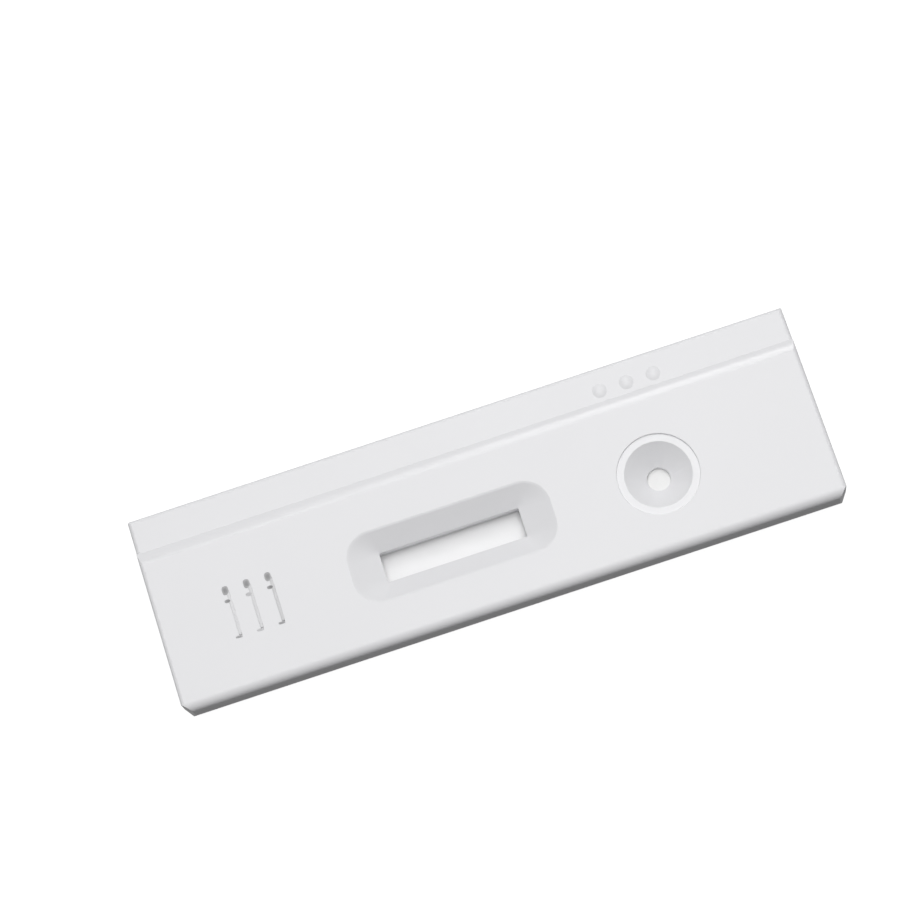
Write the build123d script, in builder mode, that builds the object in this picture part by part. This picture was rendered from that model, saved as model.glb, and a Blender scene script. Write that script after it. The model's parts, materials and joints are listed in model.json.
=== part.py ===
"""Lateral flow cassette: two moulded shells pressed together over a layered test strip.

Millimetres. X runs along the cassette with the sample well towards +X, +Y is the side with the
lower finger band, +Z is up, and the origin is the middle of the base, on the table.
"""
import os

from build123d import *

# The closed cassette, whose length is that of the strip with room at each end
strip_length = 60.0
end_room = 5.0
width = 20.8
top_height = 5.0
parting_height = 2.2
far_corner_radius = 0.3
near_corner_cut = 0.92
near_edge_radius = 0.9
far_edge_radius = 0.4
end_edge_radius = 0.4
base_inset = 0.45
base_edge_radius = 0.12

# The finger band along the far side, lower than the main face, which rounds down to it
band_width = 3.6
step_drop = 0.4
step_run = 1.3

# Moulded walls, and the tongue of the lower rim that locates the upper shell
wall = 1.1
plate = 1.1
floor = 1.0
inner_corner_radius = 0.6
tongue_thickness = 0.45
tongue_height = 0.6
tongue_gap = 0.05
seam_chamfer = 0.06

# Where the strip lies, seen from above
strip_y = -2.3
strip_width = 4.0

# Result window: a dish that slopes down to a rectangular slot in its middle
window_x = -4.2
dish_length = 21.0
dish_width = 7.2
dish_corner_radius = 2.6
dish_bevel_width = 0.2
dish_bevel_drop = 0.07
dish_wall = 0.5
slot_length = 14.8
slot_width = 3.15
slot_corner_radius = 0.15
slot_depth = 1.0
slot_clearance = 0.65
slot_skirt = 0.9

# Sample well: a flat ring let into the main face, a cone inside it and a short straight port at
# its foot, placed by the distance of its centre from the conjugate pad's end, so that the port
# meets the sample pad
well_offset = 3.33
ring_radius = 4.2
ring_width = 0.75
ring_drop = 0.22
ring_edge_radius = 0.08
cone_wall = 0.4
port_radius = 1.2
port_length = 0.4
port_edge_radius = 0.15
port_skirt = 0.9

# Raised grip dots on the finger band beside the well
dot_count = 3
dot_pitch = 2.85
dot_radius = 0.75
dot_rise = 0.17
dot_y = 7.95

# Printed guide marks at the end away from the well
mark_inset = 9.8
mark_count = 3
mark_pitch = 2.25
head_y = 0.26
head_length = 0.85
head_width = 0.6
collar_y = -0.97
foot_y = -4.82
bar_length = 0.68
bar_width = 0.28
stem_width = 0.18
stem_offset = 0.28
ink_thickness = 0.03

# Press pins of the upper shell and the sockets that take them
pin_radius = 0.8
pin_gap = 0.05
socket_wall = 0.65
socket_height = 1.5
socket_floor = 0.2
pin_end_inset = 5.5
pin_spread_x = 9.6
pin_side_gap = 0.35

# Bed that carries the strip: cross ribs, side guides and end stops
bed_height = 0.4
rib_count = 7
rib_end_inset = 3.0
rib_thickness = 0.8
guide_count = 4
guide_end_inset = 7.5
guide_length = 3.0
guide_thickness = 0.7
guide_height = 0.7
strip_side_gap = 0.1
strip_end_gap = 0.2

# Bars under the upper plate that hold the pads down
bar_thickness = 0.8
end_bar_inset = 5.5
press_gap = 0.05

# Layers of the strip, from the well end to the far end
card_thickness = 0.3
membrane_length = 25.0
membrane_thickness = 0.15
conjugate_length = 8.0
conjugate_thickness = 0.4
sample_thickness = 0.6
absorbent_thickness = 0.9
pad_overlap = 2.0
pad_ramp = 0.6

# Levels and places that follow from the sizes above
length = strip_length + 2 * end_room
ceiling = top_height - plate
band_top = top_height - step_drop
step_foot_y = width / 2 - band_width
step_top_y = step_foot_y - step_run
ring_level = top_height - ring_drop
cone_mouth_radius = ring_radius - ring_width
cone_outer_radius = cone_mouth_radius + cone_wall

bed_top = floor + bed_height
card_top = bed_top + card_thickness
membrane_top = card_top + membrane_thickness
conjugate_top = card_top + conjugate_thickness
sample_top = card_top + sample_thickness
absorbent_top = card_top + absorbent_thickness
slot_foot = membrane_top + slot_clearance
slot_top = slot_foot + slot_depth
skirt_top = slot_top - dish_wall
dish_mouth = top_height - dish_bevel_drop
port_foot = sample_top + press_gap
cone_foot = port_foot + port_length

strip_end = strip_length / 2
membrane_start = window_x - membrane_length / 2
membrane_end = window_x + membrane_length / 2
conjugate_end = membrane_end - pad_overlap + conjugate_length
absorbent_end = membrane_start + pad_overlap
well_x = conjugate_end + well_offset
well_bar_x = (well_x + cone_outer_radius + strip_end) / 2
rib_pitch = (strip_length - 2 * rib_end_inset) / (rib_count - 1)
guide_pitch = (strip_length - 2 * guide_end_inset) / (guide_count - 1)
mark_x = mark_inset - length / 2

socket_radius = pin_radius + pin_gap + socket_wall
pin_row_y = width / 2 - wall - pin_side_gap - socket_radius
pin_end_x = length / 2 - pin_end_inset
pin_places = [
    (x, y)
    for x in (-pin_end_x, -pin_spread_x, pin_spread_x, pin_end_x)
    for y in (-pin_row_y, pin_row_y)
]
pin_tip = floor + socket_floor + pin_gap


def place_block(x_middle, y_middle, x_size, y_size, z_low, z_high, mode=Mode.ADD):
    """Add to the part being built a block between two levels, or cut it away."""
    with BuildSketch(Plane.XY.offset(z_low)) as base:
        with Locations((x_middle, y_middle)):
            Rectangle(x_size, y_size)
    extrude(base.sketch, amount=z_high - z_low, mode=mode)


def dish_outline(level, margin):
    """Outline of the window's dish, wider by a margin all round, on a plane at some level."""
    with BuildSketch(Plane.XY.offset(level)) as outline:
        with Locations((window_x, strip_y)):
            RectangleRounded(
                dish_length + 2 * margin, dish_width + 2 * margin, dish_corner_radius + margin
            )
    return outline.sketch


def slot_outline(level, margin):
    """Outline of the window's slot, wider by a margin all round, on a plane at some level."""
    with BuildSketch(Plane.XY.offset(level)) as outline:
        with Locations((window_x, strip_y)):
            RectangleRounded(
                slot_length + 2 * margin, slot_width + 2 * margin, slot_corner_radius + margin
            )
    return outline.sketch


# The hollow inside the upper shell, whose ceiling steps down with the finger band
with BuildPart() as upper_hollow:
    with BuildSketch(Plane.XY.offset(parting_height)):
        RectangleRounded(length - 2 * wall, width - 2 * wall, inner_corner_radius)
    extrude(amount=ceiling - parting_height)
    with BuildSketch(Plane.YZ.offset(-length / 2)):
        with BuildLine():
            Polyline(
                (step_top_y, ceiling),
                (step_foot_y, ceiling - step_drop),
                (length, ceiling - step_drop),
                (length, ceiling),
                close=True,
            )
        make_face()
    extrude(amount=length, mode=Mode.SUBTRACT)

# One raised grip dot, a shallow round cap sunk a little into the band for a clean join
with BuildPart() as grip_dot:
    with BuildSketch(Plane.XZ):
        with BuildLine():
            crown = TangentArc((0, dot_rise), (dot_radius, 0), tangent=(1, 0))
            Polyline(crown @ 1, (dot_radius, -dot_rise), (0, -dot_rise), crown @ 0)
        make_face()
    revolve(axis=Axis.Z)

# Wall of the sample well in half section: cone, port and the outer skin below the plate
with BuildPart() as well_wall:
    with BuildSketch(Plane.XZ) as well_profile:
        with BuildLine():
            Polyline(
                (cone_mouth_radius, ring_level),
                (cone_outer_radius, ring_level),
                (cone_outer_radius, ceiling),
                (port_radius + port_skirt, port_foot),
                (port_radius, port_foot),
                (port_radius, cone_foot),
                close=True,
            )
        make_face()
        port_edge = well_profile.vertices().filter_by_position(Axis.Y, cone_foot, cone_foot)
        fillet(port_edge, port_edge_radius)
        mouth_edge = well_profile.vertices().group_by(Axis.Y)[-1].sort_by(Axis.X)[0]
        fillet(mouth_edge, ring_edge_radius)
    revolve(axis=Axis.Z)



def trim_to_side_view_and_plan(side_view):
    """Keep of the part being built what lies within a side view and within the plan.

    The plan's two near corners are cut off straight, and its far ones are rounded.
    """
    extrude(side_view, amount=2 * width, mode=Mode.INTERSECT)
    with BuildSketch(Plane.XY.offset(-top_height)) as plan:
        Rectangle(length, width)
        fillet(plan.vertices().group_by(Axis.Y)[-1], far_corner_radius)
        chamfer(plan.vertices().group_by(Axis.Y)[0], near_corner_cut)
    extrude(plan.sketch, amount=3 * top_height, mode=Mode.INTERSECT)


def trim_ends(face_height):
    """Round the top edge of both ends of the part being built, and shape its upright corners."""
    with BuildSketch(Plane.XZ.offset(-width)) as side_view:
        with Locations((0, (parting_height + face_height) / 2)):
            Rectangle(length, face_height - parting_height)
        fillet(side_view.vertices().group_by(Axis.Y)[-1], end_edge_radius)
    trim_to_side_view_and_plan(side_view.sketch)


# Outer form of the upper shell under the main face: its near edge is well rounded, and its far
# side curves down as an arc to meet the band in a crease. Sections are drawn out well past the
# cassette both ways, and the form is what they share
with BuildPart() as main_form:
    with BuildSketch(Plane.YZ.offset(-length)) as main_section:
        with BuildLine():
            TangentArc((step_top_y, top_height), (step_foot_y, band_top), tangent=(1, 0))
            Polyline(
                (step_foot_y, band_top),
                (step_foot_y, parting_height),
                (-width / 2, parting_height),
                (-width / 2, top_height),
                (step_top_y, top_height),
            )
        make_face()
        face_corners = main_section.vertices().group_by(Axis.Y)[-1].sort_by(Axis.X)
        fillet(face_corners[0], near_edge_radius)
    extrude(amount=2 * length)
    trim_ends(top_height)

# Outer form under the finger band
with BuildPart() as band_form:
    with BuildSketch(Plane.YZ.offset(-length)) as band_section:
        with Locations(((step_top_y + width / 2) / 2, (parting_height + band_top) / 2)):
            Rectangle(width / 2 - step_top_y, band_top - parting_height)
        band_corners = band_section.vertices().group_by(Axis.Y)[-1].sort_by(Axis.X)
        fillet(band_corners[-1], far_edge_radius)
    extrude(amount=2 * length)
    trim_ends(band_top)

# Upper shell, moulded in one piece
with BuildPart() as top_shell:
    add(band_form.part)
    add(main_form.part)
    chamfer(top_shell.faces().sort_by(Axis.Z)[0].edges(), seam_chamfer)
    add(upper_hollow.part, mode=Mode.SUBTRACT)
    # Rebate round the inside of the rim, which drops over the tongue of the lower shell
    with BuildSketch(Plane.XY.offset(parting_height)):
        RectangleRounded(
            length - 2 * (wall - tongue_thickness - tongue_gap),
            width - 2 * (wall - tongue_thickness - tongue_gap),
            inner_corner_radius,
        )
    extrude(amount=tongue_height + tongue_gap, mode=Mode.SUBTRACT)
    # Underside of the window dish, and the skirt that ends some way above the membrane
    loft(
        [dish_outline(ceiling, dish_wall).face(), slot_outline(skirt_top, slot_skirt).face()],
        ruled=True,
    )
    extrude(slot_outline(slot_foot, slot_skirt), amount=skirt_top - slot_foot)
    # The dish itself, with a bevelled rim, and the slot through its floor
    for upper, lower in (
        (dish_outline(top_height, dish_bevel_width), dish_outline(dish_mouth, 0)),
        (dish_outline(dish_mouth, 0), slot_outline(slot_top, 0)),
    ):
        loft([upper.face(), lower.face()], ruled=True, mode=Mode.SUBTRACT)
    extrude(slot_outline(membrane_top, 0), amount=slot_top - membrane_top, mode=Mode.SUBTRACT)
    # The sample well: a round opening in the plate for its wall, and the ring let into the face
    for radius, level in ((cone_outer_radius, ceiling), (ring_radius, ring_level)):
        with BuildSketch(Plane.XY.offset(level)):
            with Locations((well_x, strip_y)):
                Circle(radius)
        extrude(amount=top_height - level, mode=Mode.SUBTRACT)
    with Locations((well_x, strip_y, 0)):
        add(well_wall.part)
    top_edges = top_shell.edges().filter_by_position(Axis.Z, top_height, top_height)
    fillet(
        top_edges.filter_by(lambda edge: edge.geom_type == GeomType.CIRCLE).sort_by(
            lambda edge: abs(edge.radius - ring_radius)
        )[0],
        ring_edge_radius,
    )
    # Grip dots
    with Locations((well_x, dot_y, band_top)):
        with GridLocations(dot_pitch, 0, dot_count, 1):
            add(grip_dot.part)
    # Press pins
    with BuildSketch(Plane.XY.offset(pin_tip)):
        with Locations(*pin_places):
            Circle(pin_radius)
    extrude(amount=ceiling - pin_tip)
    # Bars that hold down the pads: on the sample pad's lap, beyond the well, on the absorbent pad
    for bar_x, bar_foot in (
        (conjugate_end - pad_overlap / 2, conjugate_top + sample_thickness),
        (well_bar_x, sample_top),
        (absorbent_end - 2 * pad_overlap, absorbent_top),
        (end_bar_inset - strip_end, absorbent_top),
    ):
        place_block(bar_x, strip_y, bar_thickness, strip_width, bar_foot + press_gap, ceiling)
top_shell.part.label = "top_shell"



def tray_view(plane, across):
    """Outline of the lower shell seen along one of its walls, as wide as given at its rim."""
    with BuildSketch(plane) as view:
        with BuildLine() as outline:
            Polyline(
                (base_inset - across / 2, 0),
                (across / 2 - base_inset, 0),
                (across / 2, parting_height),
                (-across / 2, parting_height),
                close=True,
            )
        make_face(outline.edges())
        fillet(view.vertices().group_by(Axis.Y)[0], base_edge_radius)
        chamfer(view.vertices().group_by(Axis.Y)[-1], seam_chamfer)
    return view.sketch


# Lower shell, moulded in one piece: a tray whose sides lean in towards the table
with BuildPart() as bottom_shell:
    extrude(tray_view(Plane.YZ.offset(-length), width), amount=2 * length)
    trim_to_side_view_and_plan(tray_view(Plane.XZ.offset(-width), length))
    # Tongue standing on the inner part of the rim
    with BuildSketch(Plane.XY.offset(parting_height)):
        RectangleRounded(
            length - 2 * (wall - tongue_thickness),
            width - 2 * (wall - tongue_thickness),
            inner_corner_radius,
        )
    extrude(amount=tongue_height)
    with BuildSketch(Plane.XY.offset(floor)):
        RectangleRounded(length - 2 * wall, width - 2 * wall, inner_corner_radius)
    extrude(amount=parting_height + tongue_height - floor, mode=Mode.SUBTRACT)
    # Sockets for the press pins
    with BuildSketch(Plane.XY.offset(floor)):
        with Locations(*pin_places):
            Circle(socket_radius)
    extrude(amount=socket_height)
    with BuildSketch(Plane.XY.offset(floor + socket_floor)):
        with Locations(*pin_places):
            Circle(pin_radius + pin_gap)
    extrude(amount=socket_height - socket_floor, mode=Mode.SUBTRACT)
    # Cross ribs under the strip
    with BuildSketch(Plane.XY.offset(floor)):
        with Locations((0, strip_y)):
            with GridLocations(rib_pitch, 0, rib_count, 1):
                Rectangle(rib_thickness, strip_width)
    extrude(amount=bed_height)
    # Side guides in pairs, and a stop beyond each end of the strip
    with BuildSketch(Plane.XY.offset(floor)):
        with Locations((0, strip_y)):
            with GridLocations(
                guide_pitch, strip_width + 2 * strip_side_gap + guide_thickness, guide_count, 2
            ):
                Rectangle(guide_length, guide_thickness)
            with GridLocations(strip_length + 2 * strip_end_gap + guide_thickness, 0, 2, 1):
                Rectangle(guide_thickness, guide_length)
    extrude(amount=guide_height)
bottom_shell.part.label = "bottom_shell"

# Backing card: the stiff plastic sheet that carries the whole strip
with BuildPart() as backing_card:
    place_block(0, strip_y, strip_length, strip_width, bed_top, card_top)
backing_card.part.label = "backing_card"

# Membrane: the thin white sheet seen through the window
with BuildPart() as membrane:
    place_block(window_x, strip_y, membrane_length, strip_width, card_top, membrane_top)
membrane.part.label = "membrane"


def lay_pad(lapped_edge, free_end, lapped_top, thickness):
    """Build a pad that lies on the card from free_end and climbs over its neighbour's edge."""
    away = 1 if free_end > lapped_edge else -1
    lap_end = lapped_edge - away * pad_overlap
    ramp_foot = lapped_edge + away * pad_ramp
    with BuildSketch(Plane.XZ.offset(-strip_y)) as side:
        with BuildLine():
            Polyline(
                (free_end, card_top),
                (ramp_foot, card_top),
                (lapped_edge, lapped_top),
                (lap_end, lapped_top),
                (lap_end, lapped_top + thickness),
                (lapped_edge, lapped_top + thickness),
                (ramp_foot, card_top + thickness),
                (free_end, card_top + thickness),
                close=True,
            )
        make_face()
    extrude(side.sketch, amount=strip_width / 2, both=True)


# Conjugate pad: glass fibre, over the end of the membrane towards the well
with BuildPart() as conjugate_pad:
    lay_pad(membrane_end, conjugate_end, membrane_top, conjugate_thickness)
conjugate_pad.part.label = "conjugate_pad"

# Sample pad: under the well, over the end of the conjugate pad
with BuildPart() as sample_pad:
    lay_pad(conjugate_end, strip_end, conjugate_top, sample_thickness)
sample_pad.part.label = "sample_pad"

# Absorbent pad: thick blotting paper over the other end of the membrane
with BuildPart() as absorbent_pad:
    lay_pad(membrane_start, -strip_end, membrane_top, absorbent_thickness)
absorbent_pad.part.label = "absorbent_pad"

# Printed guide marks: each a dark head, a collar, a thin stem and a foot, in one film of ink
with BuildPart() as index_marks:
    with BuildSketch(Plane.XY.offset(top_height)):
        for place in range(mark_count):
            middle = mark_x + (place - (mark_count - 1) / 2) * mark_pitch
            with Locations((middle, head_y)):
                Ellipse(head_width / 2, head_length / 2)
            with Locations((middle, collar_y), (middle, foot_y)):
                Rectangle(bar_length, bar_width)
            with Locations((middle + stem_offset, (head_y + foot_y) / 2)):
                Rectangle(stem_width, head_y - foot_y)
    extrude(amount=ink_thickness)
index_marks.part.label = "index_marks"

os.makedirs("parts", exist_ok=True)
for piece in (
    top_shell,
    bottom_shell,
    backing_card,
    membrane,
    conjugate_pad,
    sample_pad,
    absorbent_pad,
    index_marks,
):
    export_step(piece.part, f"parts/{piece.part.label}.step")
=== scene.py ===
import json
from math import cos, pi, radians, sin

import bpy
import numpy as np
from mathutils import Matrix, Vector


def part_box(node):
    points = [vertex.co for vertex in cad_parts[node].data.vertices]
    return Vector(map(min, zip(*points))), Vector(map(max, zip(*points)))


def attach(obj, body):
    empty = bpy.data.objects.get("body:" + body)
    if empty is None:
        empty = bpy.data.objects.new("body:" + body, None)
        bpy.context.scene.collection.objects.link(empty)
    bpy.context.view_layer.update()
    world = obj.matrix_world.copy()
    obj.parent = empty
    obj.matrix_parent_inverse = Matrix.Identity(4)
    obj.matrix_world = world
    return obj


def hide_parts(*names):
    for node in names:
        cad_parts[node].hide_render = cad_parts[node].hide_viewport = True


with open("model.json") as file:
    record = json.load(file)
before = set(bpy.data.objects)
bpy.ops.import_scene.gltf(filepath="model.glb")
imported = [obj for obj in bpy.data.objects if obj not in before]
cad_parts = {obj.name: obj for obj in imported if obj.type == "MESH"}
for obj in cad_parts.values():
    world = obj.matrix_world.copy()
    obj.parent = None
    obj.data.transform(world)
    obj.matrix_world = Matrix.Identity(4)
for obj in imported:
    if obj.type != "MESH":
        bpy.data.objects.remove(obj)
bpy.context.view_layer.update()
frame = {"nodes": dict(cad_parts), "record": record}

# The camera stands over the near long side and looks down steeply, as in the photograph, from
# far enough for the cassette's long edges to stay almost parallel, and it is rolled so that the
# cassette climbs to the right.
mm = 0.001
elevation = radians(73.99)
roll = radians(-18.235)
distance = 321.7 * mm
aim = Vector((-1.5, 7.65, 2.2)) * mm
focal_length = 126.0
sensor_width = 36.0
nearest_seen = 0.01
farthest_seen = 50.0

camera_data = bpy.data.cameras.new("camera")
camera_data.lens = focal_length
camera_data.sensor_width = sensor_width
camera_data.clip_start = nearest_seen
camera_data.clip_end = farthest_seen
camera = bpy.data.objects.new("camera", camera_data)
turn = Matrix.Rotation(pi / 2 - elevation, 4, "X") @ Matrix.Rotation(roll, 4, "Z")
backwards = Vector((0.0, -cos(elevation), sin(elevation)))
camera.matrix_world = Matrix.Translation(aim + backwards * distance) @ turn
bpy.context.scene.collection.objects.link(camera)
bpy.context.scene.camera = camera
bpy.context.scene.view_settings.view_transform = "Standard"
bpy.context.scene.view_settings.look = "None"

# Lower shell: a shallow tray of white high-impact polystyrene, injection moulded in one shot. The
# mould was finely spark-eroded, so the skin has a very fine even grain, broad faint sink marks
# from cooling, and a satin sheen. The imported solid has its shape, and gets its finish here.
plastic_white = (0.800, 0.800, 0.815, 1.0)
plastic_shade = (0.775, 0.775, 0.792, 1.0)
plastic_roughness = (0.34, 0.46)
plastic_index = 1.52
grain_size = 0.06 * mm
grain_depth = 0.006 * mm
sink_size = 14.0 * mm
sink_depth = 0.02 * mm
# Most of a noise's values lie between these two
noise_low = 0.3
noise_high = 0.7


def link_nodes(tree, source, output, target, name):
    """Join one node's output socket to another node's input socket."""
    tree.links.new(source.outputs[output], target.inputs[name])


def empty_material(name):
    """A new node material: returns it, its tree and its surface shader."""
    material = bpy.data.materials.new(name)
    material.use_nodes = True
    return material, material.node_tree, material.node_tree.nodes["Principled BSDF"]


def object_coordinates(tree, stretch=(1.0, 1.0, 1.0), turned=0.0):
    """Coordinates fixed to the piece, stretched along its axes and turned about the upright one."""
    coordinates = tree.nodes.new("ShaderNodeTexCoord")
    mapping = tree.nodes.new("ShaderNodeMapping")
    mapping.inputs["Scale"].default_value = stretch
    mapping.inputs["Rotation"].default_value = (0.0, 0.0, turned)
    link_nodes(tree, coordinates, "Object", mapping, "Vector")
    return mapping


def add_noise(tree, coordinates, size, detail=2.0, roughness=0.5):
    """Noise whose features are about one size across, with values from 0 to 1."""
    noise = tree.nodes.new("ShaderNodeTexNoise")
    noise.inputs["Scale"].default_value = 1.0 / size
    noise.inputs["Detail"].default_value = detail
    noise.inputs["Roughness"].default_value = roughness
    link_nodes(tree, coordinates, "Vector", noise, "Vector")
    return noise


def add_bump(tree, height, depth, below=None):
    """A bump of the given real depth, laid over another bump if one is given."""
    bump = tree.nodes.new("ShaderNodeBump")
    bump.inputs["Distance"].default_value = depth
    link_nodes(tree, height, "Fac", bump, "Height")
    if below is not None:
        link_nodes(tree, below, "Normal", bump, "Normal")
    return bump


def add_range(tree, source, low, high, start=noise_low, end=noise_high, output="Fac"):
    """Carry a node's value from start to end over to low to high, smoothly clamped at the ends."""
    spread = tree.nodes.new("ShaderNodeMapRange")
    spread.interpolation_type = "SMOOTHSTEP"
    spread.inputs["From Min"].default_value = start
    spread.inputs["From Max"].default_value = end
    spread.inputs["To Min"].default_value = low
    spread.inputs["To Max"].default_value = high
    link_nodes(tree, source, output, spread, "Value")
    return spread


def add_tint(tree, source, low, high):
    """Blend between two colours by a noise or an attribute."""
    tint = tree.nodes.new("ShaderNodeMix")
    tint.data_type = "RGBA"
    tint.inputs["A"].default_value = low
    tint.inputs["B"].default_value = high
    link_nodes(tree, source, "Fac", tint, "Factor")
    return tint


def add_grain(tree, coordinates):
    """The very fine even grain that the eroded mould leaves on the skin."""
    return add_noise(tree, coordinates, grain_size, detail=3.0, roughness=0.6)


def feed_shader(tree, shader, tint, sheen, bump):
    """Give a surface shader its colour, its roughness and its relief."""
    link_nodes(tree, tint, "Result", shader, "Base Color")
    link_nodes(tree, sheen, "Result", shader, "Roughness")
    link_nodes(tree, bump, "Normal", shader, "Normal")


def moulded_plastic(name):
    """White satin plastic: grain and sink bumps, faint colour drift, uneven sheen."""
    material, tree, shader = empty_material(name)
    coordinates = object_coordinates(tree)
    grain = add_grain(tree, coordinates)
    sink = add_noise(tree, coordinates, sink_size, detail=1.0)
    sink_bump = add_bump(tree, sink, sink_depth)
    grain_bump = add_bump(tree, grain, grain_depth, below=sink_bump)
    tint = add_tint(tree, sink, plastic_shade, plastic_white)
    sheen = add_range(tree, grain, *plastic_roughness)
    feed_shader(tree, shader, tint, sheen, grain_bump)
    shader.inputs["IOR"].default_value = plastic_index
    return material


def dress(piece, material):
    """Give a piece this one material."""
    piece.data.materials.clear()
    piece.data.materials.append(material)


dress(frame["nodes"]["bottom_shell"], moulded_plastic("lower_shell_plastic"))

# Backing card: stiff white vinyl sheet with adhesive on its upper side, cut to the strip's size.
# It lies on the ribs of the tray between the side guides, and the membrane and the pads are stuck
# to it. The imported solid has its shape, and gets its finish here.
card_white = (0.76, 0.765, 0.77, 1.0)
card_shade = (0.70, 0.705, 0.71, 1.0)
card_roughness = (0.42, 0.60)
roller_mark_size = 0.5 * mm
roller_mark_depth = 0.004 * mm
roller_mark_stretch = 0.08


def calendered_card():
    """Vinyl sheet rolled between polished rollers, with faint marks drawn out along the strip."""
    material, tree, shader = empty_material("calendered_card")
    along = object_coordinates(tree, stretch=(roller_mark_stretch, 1.0, 1.0))
    marks = add_noise(tree, along, roller_mark_size, detail=4.0)
    bump = add_bump(tree, marks, roller_mark_depth)
    tint = add_tint(tree, marks, card_shade, card_white)
    sheen = add_range(tree, marks, *card_roughness)
    feed_shader(tree, shader, tint, sheen, bump)
    return material


dress(frame["nodes"]["backing_card"], calendered_card())

# Membrane: cast nitrocellulose, the white sheet seen through the window's slot. It is an opaque
# felt of pores far too small to see, matt and faintly uneven, cut with a blade and laid flat on
# the card under the pads' ends.
membrane_white = (0.970, 0.970, 0.975, 1.0)
membrane_shade = (0.955, 0.955, 0.960, 1.0)
membrane_roughness = (0.70, 0.88)
pore_size = 0.035 * mm
pore_depth = 0.004 * mm
membrane_edge = 0.03 * mm
membrane_nap = 0.002 * mm
membrane_nap_size = 0.45 * mm
cloud_size = 1.8 * mm
nap_waves = 28
nap_wave_spread = (0.6, 1.8)
grid_steps_per_nap = 4
rounding_points = 5


def nap_height(x, y, size, seed):
    """Uneven height of a felt, from 0 to 1.

    It is the mean of plane waves whose directions and phases are random and whose lengths lie
    around the given size, scaled to fill the range.
    """
    random = np.random.default_rng(seed)
    heading = random.uniform(0.0, 2 * pi, nap_waves)
    phase = random.uniform(0.0, 2 * pi, nap_waves)
    wave_number = 2 * pi / (size * random.uniform(*nap_wave_spread, nap_waves))
    across_waves = x[..., None] * np.cos(heading) + y[..., None] * np.sin(heading)
    waves = np.cos(across_waves * wave_number + phase).mean(axis=-1)
    return 0.5 + 0.5 * np.clip(waves * np.sqrt(nap_waves) / 2, -1.0, 1.0)


def rounded_end(gap, radius):
    """How far a rounded edge has sunk, at a distance inwards from the outline: a quarter circle."""
    inside = np.clip(radius - gap, 0.0, radius)
    return radius - np.sqrt(radius**2 - inside**2)


def grid_faces(rows, columns):
    """Quads of a grid of vertices whose columns close on themselves, as index quadruples."""
    row, column = np.meshgrid(np.arange(rows - 1), np.arange(columns), indexing="ij")
    following = (column + 1) % columns
    corners = (
        row * columns + following,
        (row + 1) * columns + following,
        (row + 1) * columns + column,
        row * columns + column,
    )
    return np.stack(corners, axis=-1).reshape(-1, 4)


def place_mesh(name, vertices, faces):
    """A smooth mesh object at the origin, made from an array of vertices and a list of faces."""
    mesh = bpy.data.meshes.new(name)
    mesh.from_pydata(vertices.reshape(-1, 3).tolist(), [], faces)
    mesh.validate()
    mesh.shade_smooth()
    piece = bpy.data.objects.new(name, mesh)
    bpy.context.scene.collection.objects.link(piece)
    return piece


def strip_layer(name, low, high, foot, thickness, edge, nap, nap_size, seed):
    """Closed surface of one layer of the strip, between two corners of its box.

    A flat section is carried along the strip. Around the section run its flat foot, one side, the
    upper face and the other side. The foot stands on the height given by the foot function of x.
    The upper face lies one thickness above, sinks as a quarter circle along all four edges, and
    sinks by the nap elsewhere. Both ends are closed by one flat face.
    """
    step = nap_size / grid_steps_per_nap
    along = np.linspace(low.x, high.x, int((high.x - low.x) / step) + 2)
    rounding = edge * (1 - np.cos(np.linspace(0.0, pi / 2, rounding_points)))
    along = np.unique(np.concatenate([along, low.x + rounding, high.x - rounding]))
    across = np.linspace(low.y, high.y, int((high.y - low.y) / step) + 2)
    across = np.unique(np.concatenate([across, low.y + rounding, high.y - rounding]))
    section_y = np.concatenate([[low.y, high.y], across[::-1]])
    is_top = np.concatenate([[0.0, 0.0], np.ones(len(across))])
    x, y = np.meshgrid(along, section_y, indexing="ij")
    gap_across = np.minimum(y - low.y, high.y - y)
    gap_along = np.minimum(x - low.x, high.x - x)
    sunk = rounded_end(gap_across, edge) + rounded_end(gap_along, edge)
    sunk = np.minimum(sunk, edge) + nap * nap_height(x, y, nap_size, seed)
    z = foot(x) + is_top * (thickness - sunk)
    vertices = np.stack([x, y, z], axis=-1)
    rows, columns = x.shape
    faces = grid_faces(rows, columns).tolist()
    faces.append(list(reversed(range(columns))))
    faces.append([(rows - 1) * columns + place for place in range(columns)])
    return place_mesh(name, vertices, faces)


def cast_nitrocellulose():
    """Matt white membrane: fine pore bump and a faint cloudiness."""
    material, tree, shader = empty_material("cast_nitrocellulose")
    coordinates = object_coordinates(tree)
    pores = add_noise(tree, coordinates, pore_size, detail=3.0, roughness=0.7)
    clouds = add_noise(tree, coordinates, cloud_size)
    bump = add_bump(tree, pores, pore_depth)
    tint = add_tint(tree, clouds, membrane_shade, membrane_white)
    sheen = add_range(tree, pores, *membrane_roughness)
    feed_shader(tree, shader, tint, sheen, bump)
    return material


membrane_low, membrane_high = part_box("membrane")
membrane_thickness = membrane_high.z - membrane_low.z
membrane = strip_layer(
    "membrane_sheet", membrane_low, membrane_high,
    lambda x: np.full_like(x, membrane_low.z), membrane_thickness,
    membrane_edge, membrane_nap, membrane_nap_size, seed=3,
)
dress(membrane, cast_nitrocellulose())
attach(membrane, "root")
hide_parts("membrane")

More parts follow.
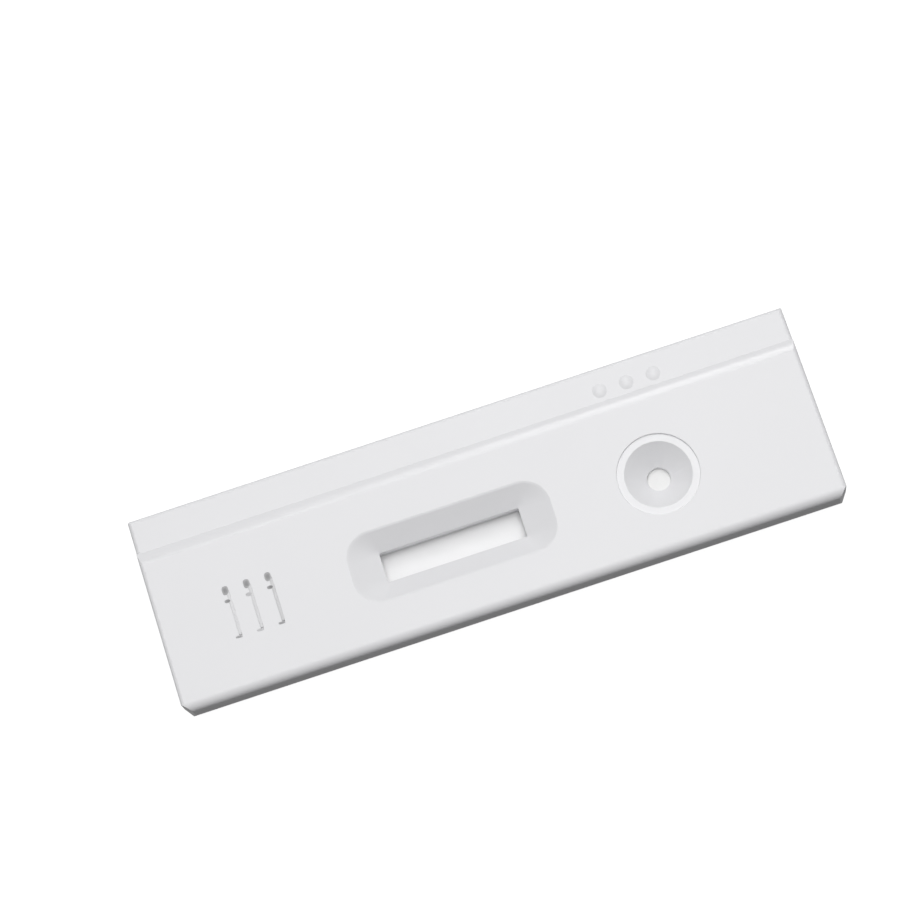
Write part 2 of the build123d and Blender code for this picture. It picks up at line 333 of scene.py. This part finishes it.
# Pads: a thin conjugate pad of glass fibre, a thicker sample pad of cellulose paper under the
# well, and a thick blotting pad at the other end. Each is die-cut from felted sheet, stuck to the
# card, and climbs over the end of its neighbour.
pad_overlap = 2.0 * mm
pad_ramp = 0.6 * mm
fibre_stretch = 0.12
fibre_directions = (0.3, 1.4, 2.5)
felt_sheen = 0.15
glass_white = (0.90, 0.905, 0.915, 1.0)
glass_shade = (0.83, 0.835, 0.85, 1.0)
paper_white = (0.86, 0.86, 0.855, 1.0)
paper_shade = (0.80, 0.80, 0.795, 1.0)
blotting_white = (0.84, 0.835, 0.81, 1.0)
blotting_shade = (0.74, 0.73, 0.70, 1.0)


def felted_fibres(name, shade, white, fibre_size, fibre_depth, roughness):
    """Felt: three sets of long thin fibres that cross at different angles, one over the other."""
    material, tree, shader = empty_material(name)
    bump = None
    tint = None
    for turned in fibre_directions:
        drawn_out = object_coordinates(tree, stretch=(fibre_stretch, 1.0, 1.0), turned=turned)
        fibres = add_noise(tree, drawn_out, fibre_size, detail=3.0, roughness=0.65)
        bump = add_bump(tree, fibres, fibre_depth, below=bump)
        layer = add_tint(tree, fibres, shade, white)
        if tint is not None:
            link_nodes(tree, tint, "Result", layer, "A")
        tint = layer
    link_nodes(tree, tint, "Result", shader, "Base Color")
    link_nodes(tree, bump, "Normal", shader, "Normal")
    shader.inputs["Roughness"].default_value = roughness
    shader.inputs["Sheen Weight"].default_value = felt_sheen
    return material


def lapped_pad(name, node, lift, lapped_end, edge, nap, nap_size, seed, material):
    """A pad in a node's box that climbs by the lift at its lapped end, as a straight ramp.

    The lapped end is -1 for the pad's left end and 1 for its right one. Returns the thickness.
    """
    low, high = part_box(node)
    lap_edge = low.x + pad_overlap if lapped_end < 0 else high.x - pad_overlap
    ramp_foot = lap_edge - lapped_end * pad_ramp

    def foot(x):
        climbed = np.clip((ramp_foot - x) / (ramp_foot - lap_edge), 0.0, 1.0)
        return low.z + lift * climbed

    thickness = high.z - low.z - lift
    pad = strip_layer(name, low, high, foot, thickness, edge, nap, nap_size, seed)
    dress(pad, material)
    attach(pad, "root")
    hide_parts(node)
    return thickness


conjugate_thickness = lapped_pad(
    "conjugate_felt", "conjugate_pad",
    lift=membrane_thickness, lapped_end=-1,
    edge=0.10 * mm, nap=0.02 * mm, nap_size=0.5 * mm, seed=5,
    material=felted_fibres(
        "glass_fibre_felt", glass_shade, glass_white,
        fibre_size=0.05 * mm, fibre_depth=0.008 * mm, roughness=0.8,
    ),
)
lapped_pad(
    "sample_felt", "sample_pad",
    lift=conjugate_thickness, lapped_end=-1,
    edge=0.14 * mm, nap=0.03 * mm, nap_size=0.6 * mm, seed=7,
    material=felted_fibres(
        "cellulose_paper", paper_shade, paper_white,
        fibre_size=0.09 * mm, fibre_depth=0.014 * mm, roughness=0.9,
    ),
)
lapped_pad(
    "blotting_felt", "absorbent_pad",
    lift=membrane_thickness, lapped_end=1,
    edge=0.20 * mm, nap=0.04 * mm, nap_size=0.8 * mm, seed=11,
    material=felted_fibres(
        "blotting_paper", blotting_shade, blotting_white,
        fibre_size=0.12 * mm, fibre_depth=0.02 * mm, roughness=0.95,
    ),
)

# Upper shell: moulded in one shot of the same white plastic, and pressed on to the tray by eight
# pins. The mould was polished at the flat ring round the well's mouth and at the curve down to the
# finger band, so those two shine, and the rest is satin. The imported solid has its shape.
well_axis = Vector(next(
    mount["pos_m"] for mount in frame["record"]["mounts"] if mount["name"] == "sample_port"
))
ring_middle_radius = 3.83 * mm
ring_half_width = 0.38 * mm
curve_middle_y = 6.15 * mm
curve_half_width = 0.65 * mm
finish_blend = 0.06 * mm
polished_roughness = 0.17


def add_math(tree, operation, first, second=0.0):
    """Work one operation on two values, each a number or a node's output, and give its output."""
    worked = tree.nodes.new("ShaderNodeMath")
    worked.operation = operation
    for socket, value in zip(worked.inputs, (first, second)):
        if isinstance(value, float):
            socket.default_value = value
        else:
            tree.links.new(value, socket)
    return worked.outputs["Value"]


def add_stripe(tree, value, middle, half_width):
    """1 where a value lies within half a width of the middle, 0 beyond it, with a soft change."""
    off_middle = add_math(tree, "ABSOLUTE", add_math(tree, "SUBTRACT", value, middle))
    start = half_width - finish_blend / 2
    end = half_width + finish_blend / 2
    stripe = add_range(tree, off_middle.node, 1.0, 0.0, start, end, output="Value")
    return stripe.outputs["Result"]


def upper_shell_plastic():
    """The shells' satin plastic, polished at the well's ring and the curve down to the band."""
    material = moulded_plastic("upper_shell_plastic")
    tree = material.node_tree
    shader = tree.nodes["Principled BSDF"]
    from_axis = object_coordinates(tree)
    from_axis.inputs["Location"].default_value = -well_axis
    place = tree.nodes.new("ShaderNodeSeparateXYZ")
    link_nodes(tree, from_axis, "Vector", place, "Vector")
    across = add_math(tree, "ADD", place.outputs["Y"], well_axis.y)
    squares = [add_math(tree, "POWER", place.outputs[axis], 2.0) for axis in "XY"]
    radius = add_math(tree, "POWER", add_math(tree, "ADD", *squares), 0.5)
    ring = add_stripe(tree, radius, ring_middle_radius, ring_half_width)
    curve = add_stripe(tree, across, curve_middle_y, curve_half_width)
    polished = add_math(tree, "MAXIMUM", ring, curve)
    finish = tree.nodes.new("ShaderNodeMix")
    tree.links.new(polished, finish.inputs["Factor"])
    tree.links.new(shader.inputs["Roughness"].links[0].from_socket, finish.inputs["A"])
    finish.inputs["B"].default_value = polished_roughness
    link_nodes(tree, finish, "Result", shader, "Roughness")
    return material


dress(frame["nodes"]["top_shell"], upper_shell_plastic())

# Guide marks: three small pad-printed figures of head, collar, stem and foot, in black ink that
# was printed thin, so it is dark in the middle of each field and pale at its edges. The stems are
# only a light screen of the same ink.
marks_low, marks_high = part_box("index_marks")
mark_pitch = 2.25 * mm
head_size = (0.66 * mm, 0.92 * mm)
bar_size = (0.76 * mm, 0.38 * mm)
bar_lean = radians(-3)
foot_size = (0.70 * mm, 0.26 * mm)
stem_width = 0.34 * mm
stem_offset = 0.22 * mm
collar_drop = 1.12 * mm
ink_black = (0.055, 0.055, 0.058, 1.0)
ink_film = 0.012 * mm
head_cover = 0.74
collar_cover = (0.78, 0.42, 0.80)
foot_cover = (0.66, 0.36, 0.70)
stem_cover = (0.14, 0.18, 0.26)
edge_cover = 0.45
stem_squareness = 6.0
field_squareness = 3.0
field_rings = 8
field_points = 48


def ink_field(centre_x, centre_y, size, squareness, cover, edge=edge_cover, lean=0.0):
    """One field of ink as a low closed mound, with how much of the ground its ink covers.

    Rings of a superellipse shrink to the middle. The height falls from the film's thickness in
    the middle to nothing at the rim, as one minus the fourth power of the radius, and the cover
    falls as the third power, to a share of it at the rim. One flat face closes the foot.
    """
    radius = np.linspace(1.0, 0.0, field_rings + 1)[:-1]
    angle = np.linspace(0.0, 2 * pi, field_points, endpoint=False)
    power = 2.0 / squareness
    rim_x = np.sign(np.cos(angle)) * np.abs(np.cos(angle)) ** power * size[0] / 2
    rim_y = np.sign(np.sin(angle)) * np.abs(np.sin(angle)) ** power * size[1] / 2
    rim_x, rim_y = rim_x * cos(lean) - rim_y * sin(lean), rim_x * sin(lean) + rim_y * cos(lean)
    x = np.append((centre_x + radius[:, None] * rim_x).ravel(), centre_x)
    y = np.append((centre_y + radius[:, None] * rim_y).ravel(), centre_y)
    distance_out = np.append(np.repeat(radius, len(angle)), 0.0)
    z = marks_low.z + ink_film * (1 - distance_out**4)
    covered = cover * (1 - (1 - edge) * distance_out**3)
    rows, columns = len(radius), len(angle)
    faces = grid_faces(rows, columns).tolist()
    last = (rows - 1) * columns
    middle = last + columns
    faces += [
        [last + place, last + (place + 1) % columns, middle]
        for place in range(columns)
    ]
    faces.append(list(reversed(range(columns))))
    return np.stack([x, y, z], axis=-1), faces, covered


def pad_printed_ink():
    """Thin black ink over the white plastic, mixed by how much of the ground it covers."""
    material, tree, shader = empty_material("pad_printed_ink")
    cover = tree.nodes.new("ShaderNodeAttribute")
    cover.attribute_name = "ink_cover"
    grain = add_grain(tree, object_coordinates(tree))
    tint = add_tint(tree, cover, plastic_white, ink_black)
    sheen = add_range(tree, grain, *plastic_roughness)
    bump = add_bump(tree, grain, grain_depth)
    feed_shader(tree, shader, tint, sheen, bump)
    shader.inputs["IOR"].default_value = plastic_index
    return material


head_middle_y = marks_high.y - head_size[1] / 2
collar_middle_y = head_middle_y - collar_drop
foot_middle_y = marks_low.y + bar_size[1] / 2
stem_middle_y = (head_middle_y + foot_middle_y) / 2
stem_size = (stem_width, head_middle_y - foot_middle_y)
marks_middle_x = marks_low.x + bar_size[0] / 2 + mark_pitch
fields = []
for place, (stem, collar, foot) in enumerate(zip(stem_cover, collar_cover, foot_cover)):
    mark_x = marks_middle_x + (place - 1) * mark_pitch
    stem_x = mark_x + stem_offset
    fields += [
        ink_field(stem_x, stem_middle_y, stem_size, stem_squareness, stem, edge=1.0),
        ink_field(mark_x, head_middle_y, head_size, field_squareness, head_cover),
        ink_field(mark_x, collar_middle_y, bar_size, field_squareness, collar, lean=bar_lean),
        ink_field(mark_x, foot_middle_y, foot_size, field_squareness, foot, lean=bar_lean),
    ]
starts = np.cumsum([0] + [len(field[0]) for field in fields])
mark_vertices = np.concatenate([field[0] for field in fields])
mark_faces = [
    [int(start) + corner for corner in face]
    for start, field in zip(starts, fields) for face in field[1]
]
printed_marks = place_mesh("printed_marks", mark_vertices, mark_faces)
ink_cover = printed_marks.data.attributes.new("ink_cover", "FLOAT", "POINT")
ink_cover.data.foreach_set("value", np.concatenate([field[2] for field in fields]))
dress(printed_marks, pad_printed_ink())
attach(printed_marks, "root")
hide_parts("index_marks")

# The stage: an even white table, bright enough to lose its edge, under one broad soft lamp
# overhead and a lamp on the far side that puts the sheen on the curve down to the band. A pale
# sky fills the shadows, and the ground round the table is dark on the near side only.
table_size = 4.0
table_gap = 0.01 * mm
table_colour = (0.2, 0.2, 0.2, 1.0)
table_glow = 0.93
light_white = (1.0, 1.0, 1.0, 1.0)
bpy.ops.mesh.primitive_plane_add(size=table_size, location=(0.0, 0.0, -table_gap))
table = bpy.context.object
table.name = "table"
# The table throws no light of its own on the cassette: the ground of the surround does that
table.visible_diffuse = False
table.visible_glossy = False
table_white, tree, shader = empty_material("table_white")
shader.inputs["Base Color"].default_value = table_colour
shader.inputs["Roughness"].default_value = 1.0
shader.inputs["Emission Color"].default_value = light_white
shader.inputs["Emission Strength"].default_value = table_glow
dress(table, table_white)

ground_radiance = (0.06, 0.50)
ground_change = (-0.3, 0.3)
sky_radiance = (0.42, 0.27)
sky_change = (0.1, 1.0)
horizon_change = (-0.12, 0.12)
world = bpy.data.worlds.new("studio")
world.use_nodes = True
bpy.context.scene.world = world
tree = world.node_tree
direction = tree.nodes.new("ShaderNodeTexCoord")
split = tree.nodes.new("ShaderNodeSeparateXYZ")
link_nodes(tree, direction, "Generated", split, "Vector")
ground = add_range(tree, split, *ground_radiance, *ground_change, output="Y")
sky = add_range(tree, split, *sky_radiance, *sky_change, output="Z")
above_horizon = add_range(tree, split, 0.0, 1.0, *horizon_change, output="Z")
surround = tree.nodes.new("ShaderNodeMix")
link_nodes(tree, above_horizon, "Result", surround, "Factor")
link_nodes(tree, ground, "Result", surround, "A")
link_nodes(tree, sky, "Result", surround, "B")
link_nodes(tree, surround, "Result", tree.nodes["Background"], "Strength")
tree.nodes["Background"].inputs["Color"].default_value = light_white


def add_softbox(name, azimuth, height_angle, reach, size_x, size_y, radiance):
    """A rectangular area lamp facing the cassette, given by its direction and its brightness.

    Its power is the radiance times pi times its area, so that its size doesn't change how bright
    it looks.
    """
    lamp = bpy.data.lights.new(name, "AREA")
    lamp.shape = "RECTANGLE"
    lamp.size = size_x
    lamp.size_y = size_y
    lamp.energy = radiance * pi * size_x * size_y
    softbox = bpy.data.objects.new(name, lamp)
    towards = Vector((
        sin(azimuth) * cos(height_angle),
        cos(azimuth) * cos(height_angle),
        sin(height_angle),
    ))
    softbox.location = towards * reach
    softbox.rotation_mode = "QUATERNION"
    softbox.rotation_quaternion = towards.to_track_quat("Z", "Y")
    bpy.context.scene.collection.objects.link(softbox)


add_softbox(
    "overhead_softbox", azimuth=radians(28), height_angle=radians(84),
    reach=0.6, size_x=0.42, size_y=0.42, radiance=3.5,
)
add_softbox(
    "far_softbox", azimuth=radians(13), height_angle=radians(50),
    reach=0.5, size_x=0.17, size_y=0.20, radiance=4.5,
)
